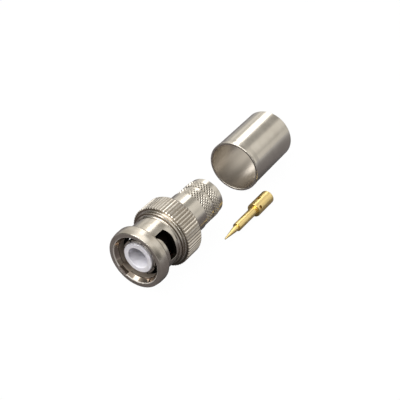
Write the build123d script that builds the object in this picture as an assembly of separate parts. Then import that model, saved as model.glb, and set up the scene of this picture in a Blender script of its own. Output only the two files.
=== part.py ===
from build123d import *
import math
import os

# Crimp plug for thick coaxial cable, as a kit of three loose pieces on a table:
# the assembled plug, its crimp ferrule and its centre contact. Millimetres, +Z up.
# The plug's axis is the Y axis and its mating mouth faces -Y at y = 0. Angles round
# an axis are degrees from +Z towards +X.

running_gap = 0.08
slip_gap = 0.10
edge_break = 0.15
fine_edge_break = 0.10
cut_overshoot = 0.60

# Coupling nut, outside
bead_radius = 6.81
bead_length = 3.05
bead_front_radius = 6.60
bead_front_round = 0.22
bead_crown_length = 1.10
bead_crown_round = 4.00
bead_rear_round = 0.65
neck_radius = 5.77
neck_root_round = 0.25
shoulder_front = 8.25
shoulder_radius = 6.40
shoulder_cove = 0.45
grip_front = 9.25
grip_length = 5.05
grip_radius = 7.25
grip_front_chamfer = 0.18
grip_rear_chamfer = 0.40
ridge_count = 60
ridge_depth = 0.27
ridge_crest_share = 0.30
ridge_root_share = 0.08

# Coupling nut, inside
mouth_radius = 4.95
mouth_flare_depth = 1.05
mouth_flare_radius = 5.62
mouth_flare_round = 0.30
lip_front = 12.25
lip_length = 0.90

# Bayonet track: two alike, half a turn apart
track_count = 2
lug_track_width = 2.30
entry_angle = 38.5
lock_turn = 46.8
lock_slot_width = 2.25
lock_depth = 5.72
ramp_front_depth = 4.33
ramp_rear_depth = 7.12
entry_rear_depth = 6.40
ramp_steps = 4
seat_corner_round = 0.55
seat_corner_steps = 4
channel_floor_radius = 5.60
channel_end = 5.00
lead_in_radius = 5.90
lead_in_length = 1.50

# Outer contact: slotted fingers, flange and shank in one turned piece
finger_tip = 1.40
finger_radius = 4.03
finger_wall = 0.45
finger_swell_end = 2.70
finger_waist_front = 3.30
finger_waist_rear = 7.60
finger_waist_radius = 3.92
finger_swell_round = 0.50
finger_root_front = 8.20
finger_count = 8
finger_slot_width = 0.42
finger_slot_end = 7.00
first_finger_slot_angle = 13.0
flange_front = 9.75
flange_length = 1.20
shank_radius = 4.00
shank_end = 17.00

# Insulator
insulator_front = 1.00
insulator_radius = 3.50
insulator_shoulder_radius = 3.90
insulator_end = 20.50
socket_radius = 2.41
socket_bottom = 7.40
barrel_pocket_front = 14.90

# Seal, spring and rings round the shank
gasket_length = 0.90
gasket_round = 0.20
thrust_washer_length = 0.30
wave_thickness = 0.22
wave_count = 3
wave_points_per_wave = 8
wave_side_gap = 0.05
ring_length = 0.50
ring_groove_depth = 0.20
ring_split_angle = 14.0

# Crimp body: collar and knurled stem
collar_radius = 4.82
collar_end = 19.90
knurl_radius = 4.66
first_knurl_length = 2.50
groove_radius = 4.50
groove_length = 0.90
second_knurl_length = 2.10
stem_end_radius = 4.44
stem_end = 26.95
stem_bore_radius = 3.72

# Crimp ferrule, lying behind the plug
ferrule_radius = 6.34
ferrule_lip_radius = 6.42
ferrule_lip_length = 0.90
ferrule_lip_taper = 1.20
ferrule_wall = 0.50
ferrule_edge_round = 0.20
ferrule_length = 17.08
ferrule_mouth_x = -1.394
ferrule_mouth_y = 41.087
ferrule_yaw = 1.19

# Centre contact, lying beside the ferrule with its point forward
contact_x = 8.133
contact_rear_y = 40.90
barrel_length = 6.35
barrel_radius = 1.68
shank_length = 7.53
contact_shank_radius = 1.02
pin_length = 4.95
pin_radius = 0.66
pin_taper_length = 4.10
pin_taper_round = 8.00
pin_nose_radius = 0.14
pin_nose_round = 0.08
solder_bore_radius = 1.22
solder_bore_depth = 5.40
inspection_hole_radius = 0.45
inspection_hole_setback = 0.85
inspection_hole_angle = 53.0
vent_hole_radius = 0.40
vent_hole_setback = 2.95
vent_hole_angle = -14.0

grip_end = grip_front + grip_length
lip_end = lip_front + lip_length
flange_radius = mouth_radius - slip_gap
flange_end = flange_front + flange_length
washer_bore = shank_radius + running_gap
thrust_washer_front = lip_front - thrust_washer_length
collar_front = lip_end + ring_length
finger_bore = finger_radius - finger_wall
resting_height = -grip_radius


def turned(*corners):
    """A solid of revolution about Y. A corner is (radius, y) or (radius, y, rounding)."""
    outline = make_face(Polyline(*[(corner[0], corner[1]) for corner in corners], close=True))
    for corner in corners:
        if len(corner) == 3:
            vertex = outline.vertices().sort_by_distance((corner[0], corner[1], 0))[0]
            outline = fillet(vertex, corner[2])
    return revolve(outline, Axis.Y)


def ring(inner_radius, outer_radius, front, length):
    """A flat ring round the plug's axis."""
    rear = front + length
    return turned((inner_radius, front), (outer_radius, front), (outer_radius, rear), (inner_radius, rear))


def on_circle(radius, angle):
    """The point (x, z) on a circle round the axis."""
    return radius * math.sin(math.radians(angle)), radius * math.cos(math.radians(angle))


def knurl_cutter():
    """What lies between and outside the grip's ridges: a ring less a toothed disc."""
    pitch = 360.0 / ridge_count
    root_radius = grip_radius - ridge_depth
    crest = pitch * ridge_crest_share / 2
    root = pitch * ridge_root_share / 2
    points = []
    for index in range(ridge_count):
        middle = index * pitch
        valley = middle + pitch / 2
        points.append(on_circle(grip_radius, middle - crest))
        points.append(on_circle(grip_radius, middle + crest))
        points.append(on_circle(root_radius, valley - root))
        points.append(on_circle(root_radius, valley + root))
    section = Plane(origin=(0, grip_front, 0), x_dir=(1, 0, 0), z_dir=(0, -1, 0))
    toothed = make_face(Polyline(*points, close=True))
    waste = Circle(grip_radius + cut_overshoot) - toothed
    return extrude(section * waste, amount=-grip_length)


def track_section(angle, front, rear):
    """A cut through the nut's wall in the half-plane at one angle round the axis."""
    inner = mouth_radius - cut_overshoot
    outer = neck_radius + cut_overshoot
    x, z = on_circle(1.0, angle)
    half_plane = Plane(origin=(0, 0, 0), x_dir=(x, 0, z), z_dir=(-z, 0, x))
    corners = Polyline((inner, front), (outer, front), (outer, rear), (inner, rear), close=True)
    return half_plane * make_face(corners)


def bayonet_track():
    """The through slot that a lug follows: entry, sloping ramp, then a round-cornered seat."""
    half_entry = math.degrees(math.asin(lug_track_width / 2 / neck_radius))
    half_seat = lock_slot_width / 2
    lock_angle = entry_angle + lock_turn
    stations = []
    for step in range(ramp_steps + 1):
        share = step / ramp_steps
        angle = entry_angle + half_entry * (2 * share - 1)
        front = ramp_front_depth - (ramp_front_depth - bead_length) * (1 - share) ** 2
        rise = math.sin(math.radians(90 * share))
        rear = entry_rear_depth + (ramp_rear_depth - entry_rear_depth) * rise
        stations.append((angle, front, rear))
    for step in range(seat_corner_steps + 1):
        turn = math.radians(90 * step / seat_corner_steps)
        reach = half_seat - seat_corner_round * (1 - math.sin(turn))
        angle = lock_angle + math.degrees(reach / neck_radius)
        half_width = half_seat - seat_corner_round * (1 - math.cos(turn))
        stations.append((angle, lock_depth - half_width, lock_depth + half_width))
    return loft([track_section(*station) for station in stations], ruled=True)


def lug_channel():
    """The blind groove, with a tapered lead-in, that lets a lug in through the mouth."""
    inner = mouth_radius - cut_overshoot
    outline = Polyline(
        (-cut_overshoot, inner),
        (-cut_overshoot, lead_in_radius),
        (0, lead_in_radius),
        (lead_in_length, channel_floor_radius),
        (channel_end, channel_floor_radius),
        (channel_end, inner),
        close=True,
    )
    groove = extrude(Plane.YZ * make_face(outline), amount=lug_track_width / 2, both=True)
    return Rot(0, entry_angle, 0) * groove


def coupling_nut():
    """The bayonet nut: bead, slotted neck, knurled grip, and a lip that the washers bear on."""
    sleeve_radius = collar_radius + slip_gap
    nut = turned(
        (mouth_radius, mouth_flare_depth, mouth_flare_round),
        (mouth_flare_radius, 0, mouth_flare_round),
        (bead_front_radius, 0, bead_front_round),
        (bead_radius, bead_crown_length, bead_crown_round),
        (bead_radius, bead_length, bead_rear_round),
        (neck_radius, bead_length, neck_root_round),
        (neck_radius, shoulder_front, shoulder_cove),
        (shoulder_radius, shoulder_front, fine_edge_break),
        (shoulder_radius, grip_front, fine_edge_break),
        (grip_radius - grip_front_chamfer, grip_front),
        (grip_radius, grip_front + grip_front_chamfer),
        (grip_radius, grip_end - grip_rear_chamfer),
        (grip_radius - ridge_depth, grip_end),
        (sleeve_radius, grip_end, edge_break),
        (sleeve_radius, lip_end),
        (washer_bore, lip_end),
        (washer_bore, lip_front),
        (mouth_radius, lip_front),
    )
    nut -= knurl_cutter()
    for index in range(track_count):
        half_turn = Rot(0, index * 360.0 / track_count, 0)
        nut -= half_turn * lug_channel()
        nut -= half_turn * bayonet_track()
    return nut


def outer_contact():
    """The plug's ground contact: a sleeve cut into fingers, a flange and a press-in shank."""
    groove_floor = shank_radius - ring_groove_depth
    body = turned(
        (finger_bore, finger_tip, edge_break),
        (finger_radius, finger_tip, edge_break),
        (finger_radius, finger_swell_end, finger_swell_round),
        (finger_waist_radius, finger_waist_front, finger_swell_round),
        (finger_waist_radius, finger_waist_rear),
        (finger_radius, finger_root_front),
        (finger_radius, flange_front),
        (flange_radius, flange_front),
        (flange_radius, flange_end),
        (shank_radius, flange_end),
        (shank_radius, lip_end),
        (groove_floor, lip_end),
        (groove_floor, collar_front),
        (shank_radius, collar_front),
        (shank_radius, shank_end),
        (insulator_radius, shank_end),
        (insulator_radius, finger_waist_rear),
        (finger_bore, finger_slot_end),
    )
    slot_length = finger_slot_end - finger_tip + cut_overshoot
    cutter = Box(finger_slot_width, slot_length, 4 * finger_wall)
    cutter = Pos(0, finger_slot_end - slot_length / 2, finger_radius) * cutter
    for index in range(finger_count):
        angle = first_finger_slot_angle + index * 360.0 / finger_count
        body -= Rot(0, angle, 0) * cutter
    return body


def insulator():
    """The white dielectric: a socket in front, a web that holds the contact, a rear pocket."""
    web_bore = contact_shank_radius + running_gap
    pocket_radius = barrel_radius + running_gap
    return turned(
        (socket_radius, insulator_front, edge_break),
        (insulator_radius, insulator_front, edge_break),
        (insulator_radius, shank_end),
        (insulator_shoulder_radius, shank_end),
        (insulator_shoulder_radius, insulator_end),
        (pocket_radius, insulator_end),
        (pocket_radius, barrel_pocket_front),
        (web_bore, barrel_pocket_front),
        (web_bore, socket_bottom),
        (socket_radius, socket_bottom),
    )


def gasket():
    """The silicone ring that the jack's barrel presses on."""
    seat = ring(finger_radius, flange_radius, flange_front - gasket_length, gasket_length)
    return fillet(seat.edges().group_by(Axis.Y)[0], gasket_round)


def wave_washer():
    """The spring: a thin ring bent into waves, between the flange and the thrust washer."""
    inner = washer_bore + wave_side_gap
    outer = flange_radius - wave_side_gap
    half = wave_thickness / 2
    inner_front, outer_front = wave_edge(inner, -half), wave_edge(outer, -half)
    inner_rear, outer_rear = wave_edge(inner, half), wave_edge(outer, half)
    sides = [
        (inner_front, outer_front),
        (outer_front, outer_rear),
        (outer_rear, inner_rear),
        (inner_rear, inner_front),
    ]
    return Solid(Shell([Face.make_surface_from_curves(first, second) for first, second in sides]))


def wave_edge(radius, lift):
    """One wavy edge of the wave washer: a closed curve that rises and falls round the axis."""
    amplitude = (thrust_washer_front - flange_end - wave_thickness) / 2
    middle = (thrust_washer_front + flange_end) / 2
    count = wave_count * wave_points_per_wave
    points = []
    for index in range(count):
        angle = 360.0 * index / count
        x, z = on_circle(radius, angle)
        height = amplitude * math.cos(math.radians(wave_count * angle))
        points.append(Vector(x, middle + height + lift, z))
    return Edge.make_spline(points, periodic=True)


def thrust_washer():
    """The flat washer that passes the nut's pull on to the wave washer."""
    return ring(washer_bore, flange_radius, thrust_washer_front, thrust_washer_length)


def retaining_ring():
    """The split ring in the shank's groove that stops the nut from sliding off backwards."""
    inner = shank_radius - ring_groove_depth
    whole = ring(inner, flange_radius, lip_end, ring_length)
    split_width = 2 * flange_radius * math.sin(math.radians(ring_split_angle / 2))
    split = Box(split_width, 2 * ring_length, 2 * flange_radius)
    return whole - Pos(0, lip_end + ring_length / 2, -flange_radius) * split


def crimp_body():
    """The rear body: a smooth collar, two knurled bands with a groove between, an end land."""
    first_band_end = collar_end + first_knurl_length
    second_band = first_band_end + groove_length
    second_band_end = second_band + second_knurl_length
    return turned(
        (shank_radius, collar_front),
        (collar_radius, collar_front, edge_break),
        (collar_radius, collar_end, edge_break),
        (knurl_radius, collar_end),
        (knurl_radius, first_band_end),
        (groove_radius, first_band_end),
        (groove_radius, second_band),
        (knurl_radius, second_band),
        (knurl_radius, second_band_end),
        (stem_end_radius, second_band_end),
        (stem_end_radius, stem_end, fine_edge_break),
        (stem_bore_radius, stem_end, edge_break),
        (stem_bore_radius, insulator_end),
        (insulator_shoulder_radius, insulator_end),
        (insulator_shoulder_radius, shank_end),
        (shank_radius, shank_end),
    )


def ferrule():
    """The crimp ferrule: a thin tube with a slightly flared front lip, lying on its side."""
    bore = ferrule_radius - ferrule_wall
    tube = turned(
        (bore, 0, edge_break),
        (ferrule_lip_radius, 0, ferrule_edge_round),
        (ferrule_lip_radius, ferrule_lip_length),
        (ferrule_radius, ferrule_lip_length + ferrule_lip_taper),
        (ferrule_radius, ferrule_length, ferrule_edge_round),
        (bore, ferrule_length, edge_break),
    )
    place = Pos(ferrule_mouth_x, ferrule_mouth_y, resting_height + ferrule_lip_radius)
    return place * Rot(0, 0, ferrule_yaw) * tube


def radial_hole(radius, angle, setback):
    """A drill through one side of the contact's barrel, at one angle round its axis."""
    drill = Pos(0, setback, barrel_radius) * Cylinder(radius, 2 * barrel_radius)
    return Rot(0, angle, 0) * drill


def center_contact():
    """The gold contact: pointed pin, shank and a hollow barrel that takes the wire."""
    shank_rear = pin_length + shank_length
    rear = shank_rear + barrel_length
    bore_bottom = rear - solder_bore_depth
    contact = turned(
        (0, 0),
        (pin_nose_radius, 0, pin_nose_round),
        (pin_radius, pin_taper_length, pin_taper_round),
        (pin_radius, pin_length),
        (contact_shank_radius, pin_length, fine_edge_break),
        (contact_shank_radius, shank_rear),
        (barrel_radius, shank_rear, edge_break),
        (barrel_radius, rear, edge_break),
        (solder_bore_radius, rear, fine_edge_break),
        (solder_bore_radius, bore_bottom),
        (0, bore_bottom - solder_bore_radius / 2),
    )
    inspection = shank_rear + inspection_hole_setback
    contact -= radial_hole(inspection_hole_radius, inspection_hole_angle, inspection)
    vent = shank_rear + vent_hole_setback
    contact -= radial_hole(vent_hole_radius, vent_hole_angle, vent)
    return Pos(contact_x, contact_rear_y - rear, resting_height + barrel_radius) * contact


pieces = {
    "coupling_nut": coupling_nut(),
    "outer_contact": outer_contact(),
    "insulator": insulator(),
    "gasket": gasket(),
    "wave_washer": wave_washer(),
    "thrust_washer": thrust_washer(),
    "retaining_ring": retaining_ring(),
    "crimp_body": crimp_body(),
    "ferrule": ferrule(),
    "center_contact": center_contact(),
}

os.makedirs("parts", exist_ok=True)
for name, piece in pieces.items():
    export_step(piece, os.path.join("parts", name + ".step"))
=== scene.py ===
import math
import bpy
import numpy as np
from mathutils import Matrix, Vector


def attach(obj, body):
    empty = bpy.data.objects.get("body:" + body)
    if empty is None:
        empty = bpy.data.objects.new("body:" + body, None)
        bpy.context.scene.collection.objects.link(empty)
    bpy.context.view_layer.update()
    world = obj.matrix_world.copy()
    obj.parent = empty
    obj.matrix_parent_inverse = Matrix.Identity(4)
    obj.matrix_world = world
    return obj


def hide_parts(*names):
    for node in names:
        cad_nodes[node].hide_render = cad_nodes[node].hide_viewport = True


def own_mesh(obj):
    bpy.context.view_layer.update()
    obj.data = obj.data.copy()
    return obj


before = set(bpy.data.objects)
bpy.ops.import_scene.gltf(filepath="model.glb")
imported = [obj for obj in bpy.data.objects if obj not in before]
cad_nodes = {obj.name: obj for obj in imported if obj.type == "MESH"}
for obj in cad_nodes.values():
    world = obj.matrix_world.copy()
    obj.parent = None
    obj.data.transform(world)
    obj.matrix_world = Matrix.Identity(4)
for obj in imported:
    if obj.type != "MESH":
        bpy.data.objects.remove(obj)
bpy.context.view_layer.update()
scene = bpy.context.scene

# The camera. It stands in front of the plug, to its right and above it, and looks into the
# mouth. Its place and its lens are the ones that fit the outlines of the three pieces.
camera_azimuth = 33.118
camera_elevation = 36.465
camera_distance = 0.220629
camera_target = Vector((-0.005666, 0.033122, -0.00725))
camera_lens = 84.086
camera_sensor_width = 36.0
camera_clip_start = 0.01


def direction(azimuth, elevation):
    """The unit vector to a place in the room. Azimuth turns it from -Y towards +X, and elevation
    lifts it from the table."""
    turn = math.radians(azimuth)
    lift = math.radians(elevation)
    return Vector((math.sin(turn) * math.cos(lift), -math.cos(turn) * math.cos(lift), math.sin(lift)))


lens = bpy.data.cameras.new("camera")
lens.lens = camera_lens
lens.sensor_width = camera_sensor_width
lens.sensor_fit = "HORIZONTAL"
lens.clip_start = camera_clip_start
camera = bpy.data.objects.new("camera", lens)
scene.collection.objects.link(camera)
camera.location = camera_target + camera_distance * direction(camera_azimuth, camera_elevation)
camera.rotation_euler = (math.radians(90.0 - camera_elevation), 0.0, math.radians(camera_azimuth))
scene.camera = camera
scene.view_settings.view_transform = "Standard"


# The lamps. A strip behind the plug draws the long highlight on each tube, the next two light
# the bead and the mouth, the two fills are hidden from mirrors and light the matt plastic, and
# a small lamp stands by the camera.
lamp_aim = Vector((0.0, 0.025, 0.0))
lamp_distance = 0.5
strip_white = (1.0, 0.995, 0.985)
lamp_white = (1.0, 0.99, 0.98)
fill_white = (1.0, 0.99, 0.99)
plain_white = (1.0, 1.0, 1.0)


def soft_box(name, way, width, height, radiance, colour, mirrored=True):
    """A rectangular lamp that faces the plug. Its power is its radiance times pi times its area."""
    lamp = bpy.data.lights.new(name, "AREA")
    lamp.shape = "RECTANGLE"
    lamp.size = width
    lamp.size_y = height
    lamp.energy = radiance * math.pi * width * height
    lamp.color = colour
    holder = bpy.data.objects.new(name, lamp)
    scene.collection.objects.link(holder)
    holder.visible_glossy = mirrored
    holder.location = lamp_aim + lamp_distance * way
    holder.rotation_euler = (-way).to_track_quat("-Z", "Y").to_euler()


soft_box("strip_light", Vector((-0.336, 0.674, 0.658)),
         width=0.118, height=0.34, radiance=1.5, colour=strip_white)
soft_box("overhead_light", Vector((-0.40, -0.24, 0.885)),
         width=0.30, height=0.24, radiance=2.8, colour=lamp_white)
soft_box("front_light", Vector((-0.04, -0.70, 0.713)),
         width=0.30, height=0.12, radiance=4.0, colour=lamp_white)
soft_box("front_fill", Vector((-0.24, -0.62, 0.747)),
         width=0.36, height=0.26, radiance=3.0, colour=fill_white, mirrored=False)
soft_box("ceiling_fill", Vector((-0.05, -0.32, 0.946)),
         width=0.40, height=0.40, radiance=4.6, colour=fill_white, mirrored=False)
soft_box("camera_light", Vector((0.40, -0.72, 0.567)),
         width=0.06, height=0.06, radiance=4.0, colour=plain_white)


# The room. It is pale and warm, and lighter towards the ceiling, with soft patches of light and
# dark for the metal to mirror. The camera sees plain white in its place.
room_floor_shine = 0.52
room_ceiling_shine = 0.84
room_ceiling_lift = 0.8
room_colour = (1.0, 0.965, 0.90, 1.0)
background_white = (1.0, 1.0, 1.0, 1.0)


def add_node(tree, kind, inputs, **options):
    """Adds one shader node. Each named input gets a link if it is given a socket, else a value."""
    made = tree.nodes.new("ShaderNode" + kind)
    for option, value in options.items():
        setattr(made, option, value)
    for name, value in inputs.items():
        if isinstance(value, bpy.types.NodeSocket):
            tree.links.new(value, made.inputs[name])
        else:
            made.inputs[name].default_value = value
    return made


def remap(tree, value, start, end, low=0.0, high=1.0, course="LINEAR"):
    """Carries a value from the range between start and end over to the one between low and high, and
    holds it at the ends. The course between them is straight, or a smooth step if that is named."""
    return add_node(tree, "MapRange", {
        "Value": value,
        "From Min": start,
        "From Max": end,
        "To Min": low,
        "To Max": high,
    }, interpolation_type=course).outputs["Result"]


def straight_ray(tree):
    """A value that is 1 for a ray from the camera, or for one that has gone through a clear piece."""
    ray = add_node(tree, "LightPath", {})
    return add_node(tree, "Math", {
        0: ray.outputs["Is Camera Ray"],
        1: ray.outputs["Is Transmission Ray"],
    }, operation="MAXIMUM").outputs[0]


world = bpy.data.worlds.new("room")
scene.world = world
world.use_nodes = True
room = world.node_tree
room.nodes.clear()
sight = add_node(room, "TexCoord", {}).outputs["Generated"]
lifted = add_node(room, "SeparateXYZ", {"Vector": sight}).outputs["Z"]
shine = remap(room, lifted, start=0.0, end=room_ceiling_lift,
              low=room_floor_shine, high=room_ceiling_shine)


def patch(total, way, inner, outer, amount):
    """Adds a soft round patch to the room's light. The amount is full within the inner angle from a
    direction and falls to none at the outer angle, as a smooth step of the angle's cosine."""
    facing = add_node(room, "VectorMath", {0: sight, 1: way}, operation="DOT_PRODUCT").outputs["Value"]
    spread = remap(room, facing, start=math.cos(math.radians(outer)), end=math.cos(math.radians(inner)),
                   low=0.0, high=amount, course="SMOOTHSTEP")
    return add_node(room, "Math", {0: total, 1: spread}, operation="ADD").outputs["Value"]


# The patches that lie behind, with a y of about 0.67, are what the sides of the tubes mirror.
# The others are on the ceiling and on the walls to the left and to the right.
shine = patch(shine, Vector((-0.16, 0.20, 0.97)), inner=10.0, outer=28.0, amount=0.80)
shine = patch(shine, Vector((0.54, 0.21, 0.81)), inner=5.0, outer=15.0, amount=0.50)
shine = patch(shine, Vector((0.95, 0.25, 0.14)), inner=8.0, outer=28.0, amount=-0.35)
shine = patch(shine, Vector((0.02, 0.69, 0.72)), inner=7.0, outer=18.0, amount=-0.34)
shine = patch(shine, Vector((0.45, 0.67, 0.59)), inner=8.0, outer=20.0, amount=0.20)
shine = patch(shine, Vector((-0.45, 0.67, 0.59)), inner=3.0, outer=18.0, amount=0.50)
shine = patch(shine, Vector((-0.72, 0.67, 0.17)), inner=5.0, outer=15.0, amount=0.40)
shine = patch(shine, Vector((0.73, 0.67, 0.10)), inner=5.0, outer=16.0, amount=0.30)
shine = patch(shine, Vector((0.76, -0.30, 0.58)), inner=20.0, outer=50.0, amount=-0.35)
shine = patch(shine, Vector((-0.92, -0.28, 0.24)), inner=15.0, outer=40.0, amount=-0.50)
shine = patch(shine, Vector((-0.74, 0.67, 0.03)), inner=4.0, outer=12.0, amount=-0.32)
pale_room = add_node(room, "Background", {"Color": room_colour, "Strength": shine})
white_room = add_node(room, "Background", {"Color": background_white, "Strength": 1.0})
seen = add_node(room, "MixShader", {0: straight_ray(room), 1: pale_room.outputs[0],
                                    2: white_room.outputs[0]})
add_node(room, "OutputWorld", {"Surface": seen.outputs[0]})


# The table. The three pieces lie on a plain board, which the camera sees nearly white, with a
# trace of their shadows. It throws little light up at them, and what the metal mirrors of it is
# darkened near the pieces as painted shade, and paler farther off.
table_height = -0.00725
table_size = 6.0
table_seen_shade = (0.8, 0.8, 0.8, 1.0)
table_bounce_shade = (0.08, 0.072, 0.074, 1.0)
table_white_share = 0.985
table_painted_shade_centre = (-0.01, 0.02, 0.0)
table_dark_radius = 0.03
table_pale_radius = 0.16
table_dark_share = 0.045
table_pale_share = 0.48


def mix_colours(tree, share, first, second):
    """The first colour where the share is 0, the second where it is 1, and a blend between them."""
    return add_node(tree, "Mix", {0: share, 6: first, 7: second}, data_type="RGBA").outputs[2]


table_mesh = bpy.data.meshes.new("table")
half = table_size / 2
table_corners = [(-half, -half), (half, -half), (half, half), (-half, half)]
table_mesh.from_pydata([(x, y, table_height) for x, y in table_corners], [], [(0, 1, 2, 3)])
table = bpy.data.objects.new("table", table_mesh)
scene.collection.objects.link(table)
table_paint = bpy.data.materials.new("table_paint")
table_paint.use_nodes = True
paint = table_paint.node_tree
paint.nodes.clear()
straight = straight_ray(paint)
mirrored = add_node(paint, "LightPath", {}).outputs["Is Glossy Ray"]
shade = mix_colours(paint, straight, table_bounce_shade, table_seen_shade)
lit = add_node(paint, "BsdfDiffuse", {"Color": shade})
white = add_node(paint, "Emission", {"Color": background_white, "Strength": 1.0})
spot = add_node(paint, "TexCoord", {}).outputs["Object"]
# Painted shade: mirrored rays see the board darker the nearer it lies to the pieces.
away = add_node(paint, "VectorMath", {0: spot, 1: table_painted_shade_centre},
                operation="DISTANCE").outputs["Value"]
paler = remap(paint, away, start=table_dark_radius, end=table_pale_radius,
              low=table_dark_share, high=table_pale_share)
seen_share = add_node(paint, "Math", {0: straight, 1: table_white_share},
                      operation="MULTIPLY").outputs[0]
white_share = add_node(paint, "Math", {0: mirrored, 1: paler, 2: seen_share},
                       operation="MULTIPLY_ADD").outputs[0]
board = add_node(paint, "MixShader", {0: white_share, 1: lit.outputs[0], 2: white.outputs[0]})
add_node(paint, "OutputMaterial", {"Surface": board.outputs[0]})
table_mesh.materials.append(table_paint)


# The coupling nut. It is turned from brass, with a bead, two bayonet slots and a straight-knurled
# grip, and plated with bright nickel. Painted shade darkens its grooves, the faces behind the neck
# and the mouth's cone, and makes the bore behind near black, and a painted highlight lightens the
# mouth's front edge. The split ring on the plug's shank holds it. It keeps its shape from the frame and
# gets its finish here.
mm = 0.001
plug_axis = (0.0, 0.0, 0.0)
nut_tint = (0.69, 0.655, 0.60, 1.0)
nut_dull_tint = (0.52, 0.475, 0.41, 1.0)
nickel_shadow = (0.16, 0.12, 0.08, 1.0)


def axis_places(tree, centre):
    """A place on a turned piece, as four sockets: the place from the axis' centre, its distance along
    the axis, the same place with that distance taken out, and its distance from the axis."""
    place = add_node(tree, "TexCoord", {}).outputs["Object"]
    centred = add_node(tree, "VectorMath", {0: place, 1: centre}, operation="SUBTRACT").outputs[0]
    parts = add_node(tree, "SeparateXYZ", {"Vector": centred})
    flat = add_node(tree, "CombineXYZ", {"X": parts.outputs["X"], "Z": parts.outputs["Z"]}).outputs[0]
    away = add_node(tree, "VectorMath", {0: flat}, operation="LENGTH").outputs["Value"]
    return centred, parts.outputs["Y"], flat, away


def relief(tree, height, strength, distance, normal):
    """A normal, tilted by the slope of a height that is given as a share of a distance."""
    return add_node(tree, "Bump", {"Height": height, "Strength": strength, "Distance": distance,
                                   "Normal": normal}).outputs[0]


def turned_metal(name, tint, dull_tint, shadow_tint, centre, roughness, cavity, edge_radius, streak):
    """Plated metal from a lathe. Its normal carries fine rings, a noise of one value that runs with
    the sum of the distance along the axis and from it, streaks, a noise that is the same all along
    the axis, a fine grain, and a bevel that rounds each edge. Colour and roughness drift with a soft
    noise, and painted shade darkens the colour towards the shadow tint where less of the room is seen than
    the cavity's share."""
    rings_per_metre = 9000.0
    clouds_per_metre = 420.0
    grains_per_metre = 5200.0
    streaks_per_metre = 2400.0
    ring_height = 0.01 * mm
    streak_height = 0.04 * mm
    grain_height = 0.02 * mm
    cavity_reach = 2.5 * mm
    dull_roughness_factor = 1.5
    finish = bpy.data.materials.new(name)
    finish.use_nodes = True
    tree = finish.node_tree
    shader = tree.nodes["Principled BSDF"]
    centred, along, flat, away = axis_places(tree, centre)
    run = add_node(tree, "Math", {0: along, 1: away}, operation="ADD").outputs[0]
    rings = add_node(tree, "TexNoise", {"W": run, "Scale": rings_per_metre, "Detail": 3.0,
                                        "Roughness": 0.6}, noise_dimensions="1D").outputs[0]
    drift = add_node(tree, "TexNoise", {"Vector": centred, "Scale": clouds_per_metre, "Detail": 4.0,
                                        "Roughness": 0.55}).outputs[0]
    grain = add_node(tree, "TexNoise", {"Vector": centred, "Scale": grains_per_metre,
                                        "Detail": 2.0}).outputs[0]
    drawn = add_node(tree, "TexNoise", {"Vector": flat, "Scale": streaks_per_metre,
                                        "Detail": 3.0}).outputs[0]
    edge = add_node(tree, "Bevel", {"Radius": edge_radius}, samples=6).outputs[0]
    ringed = relief(tree, rings, strength=0.10, distance=ring_height, normal=edge)
    streaked = relief(tree, drawn, strength=streak, distance=streak_height, normal=ringed)
    grained = relief(tree, grain, strength=0.06, distance=grain_height, normal=streaked)
    tree.links.new(grained, shader.inputs["Normal"])
    even = remap(tree, drift, start=0.3, end=0.7)
    hue = mix_colours(tree, even, dull_tint, tint)
    # Painted shade: the colour darkens towards the shadow tint where ambient occlusion finds little open
    # room.
    open_sky = add_node(tree, "AmbientOcclusion", {"Distance": cavity_reach}, samples=8).outputs["AO"]
    depth = remap(tree, open_sky, start=cavity, end=0.0)
    tree.links.new(mix_colours(tree, depth, hue, shadow_tint), shader.inputs["Base Color"])
    haze = remap(tree, drift, start=0.35, end=0.75,
                 low=roughness, high=roughness * dull_roughness_factor)
    tree.links.new(haze, shader.inputs["Roughness"])
    shader.inputs["Metallic"].default_value = 1.0
    return finish


def dress(node, finish):
    """Gives one of the frame's own pieces its finish."""
    mesh = cad_nodes[node].data
    mesh.materials.clear()
    mesh.materials.append(finish)


def band(tree, value, span, soft):
    """A mask of how far a value is from the middle of a span: 1 within the span, which is given by
    its two ends in millimetres, and falling to 0 over the soft width outside it."""
    middle = (span[0] + span[1]) / 2 * mm
    half_width = (span[1] - span[0]) / 2 * mm
    offset = add_node(tree, "Math", {0: value, 1: middle}, operation="SUBTRACT").outputs[0]
    apart = add_node(tree, "Math", {0: offset}, operation="ABSOLUTE").outputs[0]
    return remap(tree, apart, half_width + soft * mm, half_width, course="SMOOTHSTEP")


def ring_mask(tree, centre, along, away, soft):
    """A mask of one ring-shaped place, the product of two bands: one of the distance along the axis
    and one of the distance from it."""
    _, run, _, radius = axis_places(tree, centre)
    return add_node(tree, "Math", {0: band(tree, run, along, soft), 1: band(tree, radius, away, soft)},
                    operation="MULTIPLY").outputs[0]


def restyle_ring(finish, centre, along, away, soft, roughness, tint=None):
    """Gives a metal another roughness in one ring-shaped place, and another colour there too if a
    tint is named. Most tints given to it are painted shade, and one is a painted highlight."""
    tree = finish.node_tree
    shader = tree.nodes["Principled BSDF"]
    mask = ring_mask(tree, centre, along, away, soft)
    haze = shader.inputs["Roughness"].links[0].from_socket
    hazed = add_node(tree, "Mix", {0: mask, 2: haze, 3: roughness}, data_type="FLOAT").outputs[0]
    tree.links.new(hazed, shader.inputs["Roughness"])
    if tint:
        colour = shader.inputs["Base Color"].links[0].from_socket
        tree.links.new(mix_colours(tree, mask, colour, tint), shader.inputs["Base Color"])


nut_nickel = turned_metal("bright_nickel", nut_tint, nut_dull_tint, nickel_shadow, plug_axis,
                          roughness=0.15, cavity=0.45, edge_radius=0.11 * mm, streak=0.02)

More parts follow.
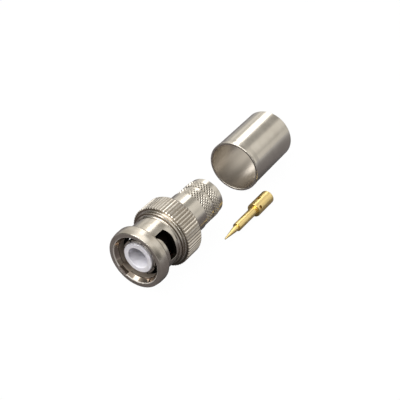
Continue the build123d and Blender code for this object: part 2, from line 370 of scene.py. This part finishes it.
# The floors of the grooves between the grip's ridges, darkened as painted shade.
restyle_ring(nut_nickel, plug_axis, along=(9.20, 14.40), away=(6.92, 7.04), soft=0.10,
        roughness=0.25, tint=(0.48, 0.44, 0.39, 1.0))

# The grip's front face, darkened to dark brown as painted shade.
restyle_ring(nut_nickel, plug_axis, along=(9.16, 9.28), away=(6.48, 7.02), soft=0.06,
        roughness=0.22, tint=(0.36, 0.31, 0.25, 1.0))

# The front face of the shoulder in front of the grip, and then the shoulder's rim, both darkened as
# painted shade, the face to dark brown.
restyle_ring(nut_nickel, plug_axis, along=(8.25, 8.35), away=(6.10, 6.70), soft=0.06,
        roughness=0.25, tint=(0.24, 0.19, 0.145, 1.0))
restyle_ring(nut_nickel, plug_axis, along=(8.35, 9.25), away=(6.20, 6.60), soft=0.06,
        roughness=0.20, tint=(0.64, 0.61, 0.56, 1.0))

# The outside of the bead, which is a little less smooth than the rest and of the same colour.
restyle_ring(nut_nickel, plug_axis, along=(0.25, 2.85), away=(6.42, 7.02), soft=0.12, roughness=0.25)

# The mouth: its flared cone, darkened to brown as painted shade, the wall of the bore behind that, browner
# and much rougher, and the cone's front edge, pale and rough as a painted highlight.
# Painted shade on the flared cone.
restyle_ring(nut_nickel, plug_axis, along=(0.26, 1.10), away=(4.68, 5.92), soft=0.08,
        roughness=0.11, tint=(0.40, 0.34, 0.29, 1.0))
restyle_ring(nut_nickel, plug_axis, along=(1.28, 2.88), away=(4.68, 5.92), soft=0.12,
        roughness=0.74, tint=(0.70, 0.62, 0.545, 1.0))
# Painted highlight: a pale, rough ring along the cone's front edge.
restyle_ring(nut_nickel, plug_axis, along=(-0.01, 0.17), away=(5.45, 5.63), soft=0.05,
        roughness=0.70, tint=(0.88, 0.85, 0.81, 1.0))

# The bore farther back, with the walls of the slots, painted near black as shade.
restyle_ring(nut_nickel, plug_axis, along=(2.90, 13.50), away=(4.08, 5.68), soft=0.10,
        roughness=0.60, tint=(0.015, 0.012, 0.010, 1.0))
dress("coupling_nut", nut_nickel)


# The outer contact. Eight spring fingers are cut into a thin turned sleeve, with a flange and a
# shank behind that is pressed into the crimp body. It is plated brass, with painted shade that makes it
# near black behind its tips.
finger_tint = (0.62, 0.59, 0.54, 1.0)
finger_dull_tint = (0.54, 0.51, 0.46, 1.0)
finger_shadow = (0.10, 0.07, 0.05, 1.0)
finger_nickel = turned_metal("finger_nickel", finger_tint, finger_dull_tint, finger_shadow, plug_axis,
                             roughness=0.16, cavity=0.50, edge_radius=0.06 * mm, streak=0.02)
# Painted shade, near black, on the fingers behind their tips.
restyle_ring(finger_nickel, plug_axis, along=(3.50, 12.50), away=(3.20, 5.00), soft=0.50,
        roughness=0.60, tint=(0.018, 0.013, 0.010, 1.0))
dress("outer_contact", finger_nickel)


# The insulator. The white dielectric is turned from a plastic rod and pressed into the contact.
# It is faintly see-through, with a soft gloss and the tool's rings on its face. Painted shade darkens
# its socket and other recesses, and behind the fingers painted shade makes it near black, so that the
# slots stay dark.
plastic_tint = (0.72, 0.71, 0.755, 1.0)
plastic_cloud_tint = (0.62, 0.62, 0.66, 1.0)
plastic_painted_shade_tint = (0.34, 0.32, 0.33, 1.0)
plastic_finger_shade_tint = (0.03, 0.026, 0.024, 1.0)
plastic_clouds_per_metre = 700.0
plastic_rings_per_metre = 7000.0
plastic_ring_height = 0.02 * mm
plastic_edge_radius = 0.08 * mm
plastic_socket_reach = 3.0 * mm
plastic_socket_cavity = 0.45
white_plastic = bpy.data.materials.new("white_dielectric")
white_plastic.use_nodes = True
tree = white_plastic.node_tree
shader = tree.nodes["Principled BSDF"]
place, _, _, away = axis_places(tree, plug_axis)
cloud = add_node(tree, "TexNoise", {"Vector": place, "Scale": plastic_clouds_per_metre,
                                    "Detail": 3.0}).outputs[0]
milk = mix_colours(tree, cloud, plastic_cloud_tint, plastic_tint)
# Painted shade in the socket and other recesses, where little of the room is open.
open_sky = add_node(tree, "AmbientOcclusion", {"Distance": plastic_socket_reach}, samples=8).outputs["AO"]
depth = remap(tree, open_sky, start=plastic_socket_cavity, end=0.0)
dusk = mix_colours(tree, depth, milk, plastic_painted_shade_tint)
# Painted shade, near black, on the plastic behind the fingers.
finger_shade_mask = ring_mask(tree, plug_axis, along=(3.2, 12.8), away=(3.4, 4.0), soft=0.25)
shaded = mix_colours(tree, finger_shade_mask, dusk, plastic_finger_shade_tint)
tree.links.new(shaded, shader.inputs["Base Color"])
rings = add_node(tree, "TexNoise", {"W": away, "Scale": plastic_rings_per_metre, "Detail": 2.0},
                 noise_dimensions="1D").outputs[0]
edge = add_node(tree, "Bevel", {"Radius": plastic_edge_radius}, samples=4).outputs[0]
ringed = relief(tree, rings, strength=0.12, distance=plastic_ring_height, normal=edge)
tree.links.new(ringed, shader.inputs["Normal"])
shader.inputs["Roughness"].default_value = 0.38
shader.inputs["Subsurface Weight"].default_value = 0.15
shader.inputs["Subsurface Radius"].default_value = (0.6 * mm, 0.6 * mm, 0.7 * mm)
dress("insulator", white_plastic)


# The gasket. It is a moulded ring of red-brown silicone, matt, that sits on the flange at the
# root of the fingers. The nut's spring draws the jack's barrel against it.
rubber_dark = (0.24, 0.05, 0.03, 1.0)
rubber_light = (0.34, 0.08, 0.05, 1.0)
pores_per_metre = 2500.0
pore_height = 0.03 * mm
rubber = bpy.data.materials.new("silicone_rubber")
rubber.use_nodes = True
tree = rubber.node_tree
shader = tree.nodes["Principled BSDF"]
place = add_node(tree, "TexCoord", {}).outputs["Object"]
mottle = add_node(tree, "TexNoise", {"Vector": place, "Scale": pores_per_metre,
                                     "Detail": 4.0}).outputs[0]
tree.links.new(mix_colours(tree, mottle, rubber_dark, rubber_light), shader.inputs["Base Color"])
pored = add_node(tree, "Bump", {"Height": mottle, "Strength": 0.2, "Distance": pore_height})
tree.links.new(pored.outputs[0], shader.inputs["Normal"])
shader.inputs["Roughness"].default_value = 0.6
dress("gasket", rubber)


# The spring and the rings behind the flange. A wave washer of spring steel with three waves
# presses on a flat washer, which rests on the nut's lip, and the split ring in the shank's
# groove holds the nut from behind.
wave_inner_radius = 4.13 * mm
wave_outer_radius = 4.80 * mm
wave_front = 10.95 * mm
wave_rear = 11.95 * mm
wave_thickness = 0.22 * mm
wave_corner = 0.04 * mm
wave_count = 3
wave_steps = 240
sharp_angle = 28.0
steel_tint = (0.56, 0.55, 0.53, 1.0)
steel_dull_tint = (0.46, 0.45, 0.43, 1.0)
steel_shadow = (0.10, 0.08, 0.06, 1.0)
spring_steel = turned_metal("spring_steel", steel_tint, steel_dull_tint, steel_shadow, plug_axis,
                            roughness=0.25, cavity=0.50, edge_radius=0.04 * mm, streak=0.02)


def ring_piece(name, radius, along, finish, body):
    """A closed surface round the Y axis from two arrays, one row for each point of its section and one
    column for each step round. A point lies at (radius sin angle, along, radius cos angle), the last
    row joins the first, and the last column joins the first. The section runs to the rear on its
    outside and to the front on its inside, so that the faces point outwards."""
    rows, steps = radius.shape
    angle = np.arange(steps) * 2 * np.pi / steps
    points = np.stack([radius * np.sin(angle), along + 0 * angle, radius * np.cos(angle)], axis=-1)
    row, step = np.meshgrid(np.arange(rows), np.arange(steps), indexing="ij")
    next_row = (row + 1) % rows
    next_step = (step + 1) % steps
    quads = np.stack([row * steps + step, row * steps + next_step,
                      next_row * steps + next_step, next_row * steps + step], axis=-1)
    mesh = bpy.data.meshes.new(name)
    mesh.from_pydata(points.reshape(-1, 3), [], quads.reshape(-1, 4))
    mesh.polygons.foreach_set("use_smooth", np.ones(rows * steps, dtype=bool))
    mesh.set_sharp_from_angle(angle=math.radians(sharp_angle))
    mesh.materials.append(finish)
    piece = bpy.data.objects.new(name, mesh)
    scene.collection.objects.link(piece)
    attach(piece, body)
    return piece


def wave_spring():
    """The washer's section is a rectangle with its four corners cut. Its middle rises and falls as
    the cosine of three times the angle, by half of the room that the washer's thickness leaves."""
    half_thickness = wave_thickness / 2
    section = np.array([
        (wave_outer_radius - wave_corner, -half_thickness),
        (wave_outer_radius, -half_thickness + wave_corner),
        (wave_outer_radius, half_thickness - wave_corner),
        (wave_outer_radius - wave_corner, half_thickness),
        (wave_inner_radius + wave_corner, half_thickness),
        (wave_inner_radius, half_thickness - wave_corner),
        (wave_inner_radius, -half_thickness + wave_corner),
        (wave_inner_radius + wave_corner, -half_thickness),
    ])
    angle = np.arange(wave_steps) * 2 * np.pi / wave_steps
    rise = (wave_rear - wave_front - wave_thickness) / 2 * np.cos(wave_count * angle)
    radius = np.repeat(section[:, :1], wave_steps, axis=1)
    along = (wave_front + wave_rear) / 2 + section[:, 1:] + rise
    return ring_piece("wave_spring", radius, along, spring_steel, "plug_body")


spring = wave_spring()
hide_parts("wave_washer")
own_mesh(spring)
dress("thrust_washer", spring_steel)
dress("retaining_ring", spring_steel)


# The crimp body. It is turned brass, nickel plated: a smooth collar that is pressed on the shank,
# then a stem with two bands of rolled diamond knurl that bite into the cable's braid, and a plain
# land at its end.
collar_radius = 4.82 * mm
collar_front = 13.65 * mm
collar_end = 19.90 * mm
collar_edge_break = 0.12 * mm
shank_bore_radius = 4.00 * mm
shank_bore_end = 17.00 * mm
insulator_bore_radius = 3.90 * mm
insulator_bore_end = 20.50 * mm
stem_groove_radius = 4.50 * mm
stem_groove_ramp = 0.05 * mm
stem_end_radius = 4.44 * mm
stem_end = 26.95 * mm
stem_end_break_length = 0.10 * mm
stem_end_break_height = 0.06 * mm
stem_bore_radius = 3.72 * mm
stem_bore_break = 0.08 * mm
knurl_starts = 36
knurl_axial_pitch = 0.92 * mm
knurl_radius = 4.66 * mm
knurl_depth = 0.34 * mm
knurl_crest_share = 0.24
knurl_steps_per_pitch = 12
knurl_foot_radius = 4.60 * mm
knurl_foot_length = 0.03 * mm
knurl_bands = ((19.95 * mm, 22.35 * mm), (23.30 * mm, 25.40 * mm))
nickel_tint = (0.67, 0.635, 0.575, 1.0)
nickel_dull_tint = (0.60, 0.565, 0.505, 1.0)
pit_painted_shade_tint = (0.055, 0.045, 0.042, 1.0)


def knurled(along, angle):
    """The stem's radius in a band. Two sets of ridges cross, one for each hand of helix, with a pit in
    each diamond between them. A ridge's crest lies where the angle's share of a pitch plus or minus the
    length's share is a half, and a pit is as deep as the nearer ridge's flank lets it be."""
    turns = angle * knurl_starts / (2 * np.pi)
    lengths = along / knurl_axial_pitch
    cut = 1.0
    for hand in (1, -1):
        share = (turns + hand * lengths) % 1.0
        from_crest = np.abs(share - 0.5) * 2
        flank = (from_crest - knurl_crest_share) / (1 - knurl_crest_share)
        cut = np.minimum(cut, np.clip(flank, 0, 1))
    return knurl_radius - knurl_depth * cut


def crimp_stem():
    """The section runs out along the collar and the bands, over the end, and back through the bore.
    Rows inside a band follow the knurl, and every other row is round."""
    first_band, second_band = knurl_bands
    collar = [
        (shank_bore_radius, collar_front),
        (collar_radius - collar_edge_break, collar_front),
        (collar_radius, collar_front + collar_edge_break),
        (collar_radius, collar_end - collar_edge_break),
        (collar_radius - collar_edge_break, collar_end),
        (knurl_foot_radius, first_band[0] - knurl_foot_length),
    ]
    groove = [
        (stem_groove_radius, first_band[1] + stem_groove_ramp),
        (stem_groove_radius, second_band[0] - stem_groove_ramp),
    ]
    land_and_bore = [
        (stem_end_radius, second_band[1] + knurl_foot_length),
        (stem_end_radius, stem_end - stem_end_break_length),
        (stem_end_radius - stem_end_break_height, stem_end),
        (stem_bore_radius + stem_bore_break, stem_end),
        (stem_bore_radius, stem_end - stem_bore_break),
        (stem_bore_radius, insulator_bore_end),
        (insulator_bore_radius, insulator_bore_end),
        (insulator_bore_radius, shank_bore_end),
        (shank_bore_radius, shank_bore_end),
    ]
    steps = knurl_starts * knurl_steps_per_pitch
    angle = np.arange(steps) * 2 * np.pi / steps
    radius_rows = []
    along_rows = []
    for plain, knurl in ((collar, first_band), (groove, second_band), (land_and_bore, None)):
        for radius, along in plain:
            radius_rows.append(np.full(steps, radius))
            along_rows.append(np.full(steps, along))
        if knurl:
            rows = round((knurl[1] - knurl[0]) / knurl_axial_pitch * knurl_steps_per_pitch)
            for along in np.linspace(knurl[0], knurl[1], rows + 1):
                radius_rows.append(knurled(along, angle))
                along_rows.append(np.full(steps, along))
    return ring_piece("crimp_stem", np.array(radius_rows), np.array(along_rows), stem_nickel,
                      "plug_body")


stem_nickel = turned_metal("stem_nickel", nickel_tint, nickel_dull_tint, nickel_shadow, plug_axis,
                           roughness=0.17, cavity=0.45, edge_radius=0.04 * mm, streak=0.06)
# Painted shade, near black, in the pits of the knurl.
for band_start, band_end in knurl_bands:
    restyle_ring(stem_nickel, plug_axis, along=(band_start / mm, band_end / mm), away=(4.20, 4.44),
            soft=0.10, roughness=0.45, tint=pit_painted_shade_tint)
stem = crimp_stem()
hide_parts("crimp_body")


# The crimp ferrule. It is a length of thin brass tube, nickel plated, with its front lip flared a
# little. It lies loose behind the plug, and is slid over the stem and crimped in use. Its finish
# takes its axis as parallel to the plug's, from which it is turned by about one degree.
ferrule_axis = (-0.001571, 0.049625, -0.00083)
ferrule_nickel = turned_metal("ferrule_nickel", nickel_tint, nickel_dull_tint, nickel_shadow, ferrule_axis,
                              roughness=0.15, cavity=0.35, edge_radius=0.06 * mm, streak=0.22)

# The tube's inner wall.
restyle_ring(ferrule_nickel, ferrule_axis, along=(-8.60, 8.60), away=(5.15, 6.05), soft=0.06,
        roughness=0.34, tint=(0.60, 0.555, 0.495, 1.0))
dress("ferrule", ferrule_nickel)


# The centre contact. It is turned brass plated with gold, and lies loose beside the ferrule. It
# has a pointed pin, a shank and a barrel for the wire, with an inspection hole and a vent.
contact_axis = (0.008133, 0.0, -0.00557)
gold_tint = (1.0, 0.80, 0.37, 1.0)
gold_dull_tint = (0.96, 0.73, 0.30, 1.0)
gold_shadow = (0.25, 0.11, 0.02, 1.0)
gold_plate = turned_metal("gold_plate", gold_tint, gold_dull_tint, gold_shadow, contact_axis,
                          roughness=0.27, cavity=0.12, edge_radius=0.05 * mm, streak=0.05)
dress("center_contact", gold_plate)
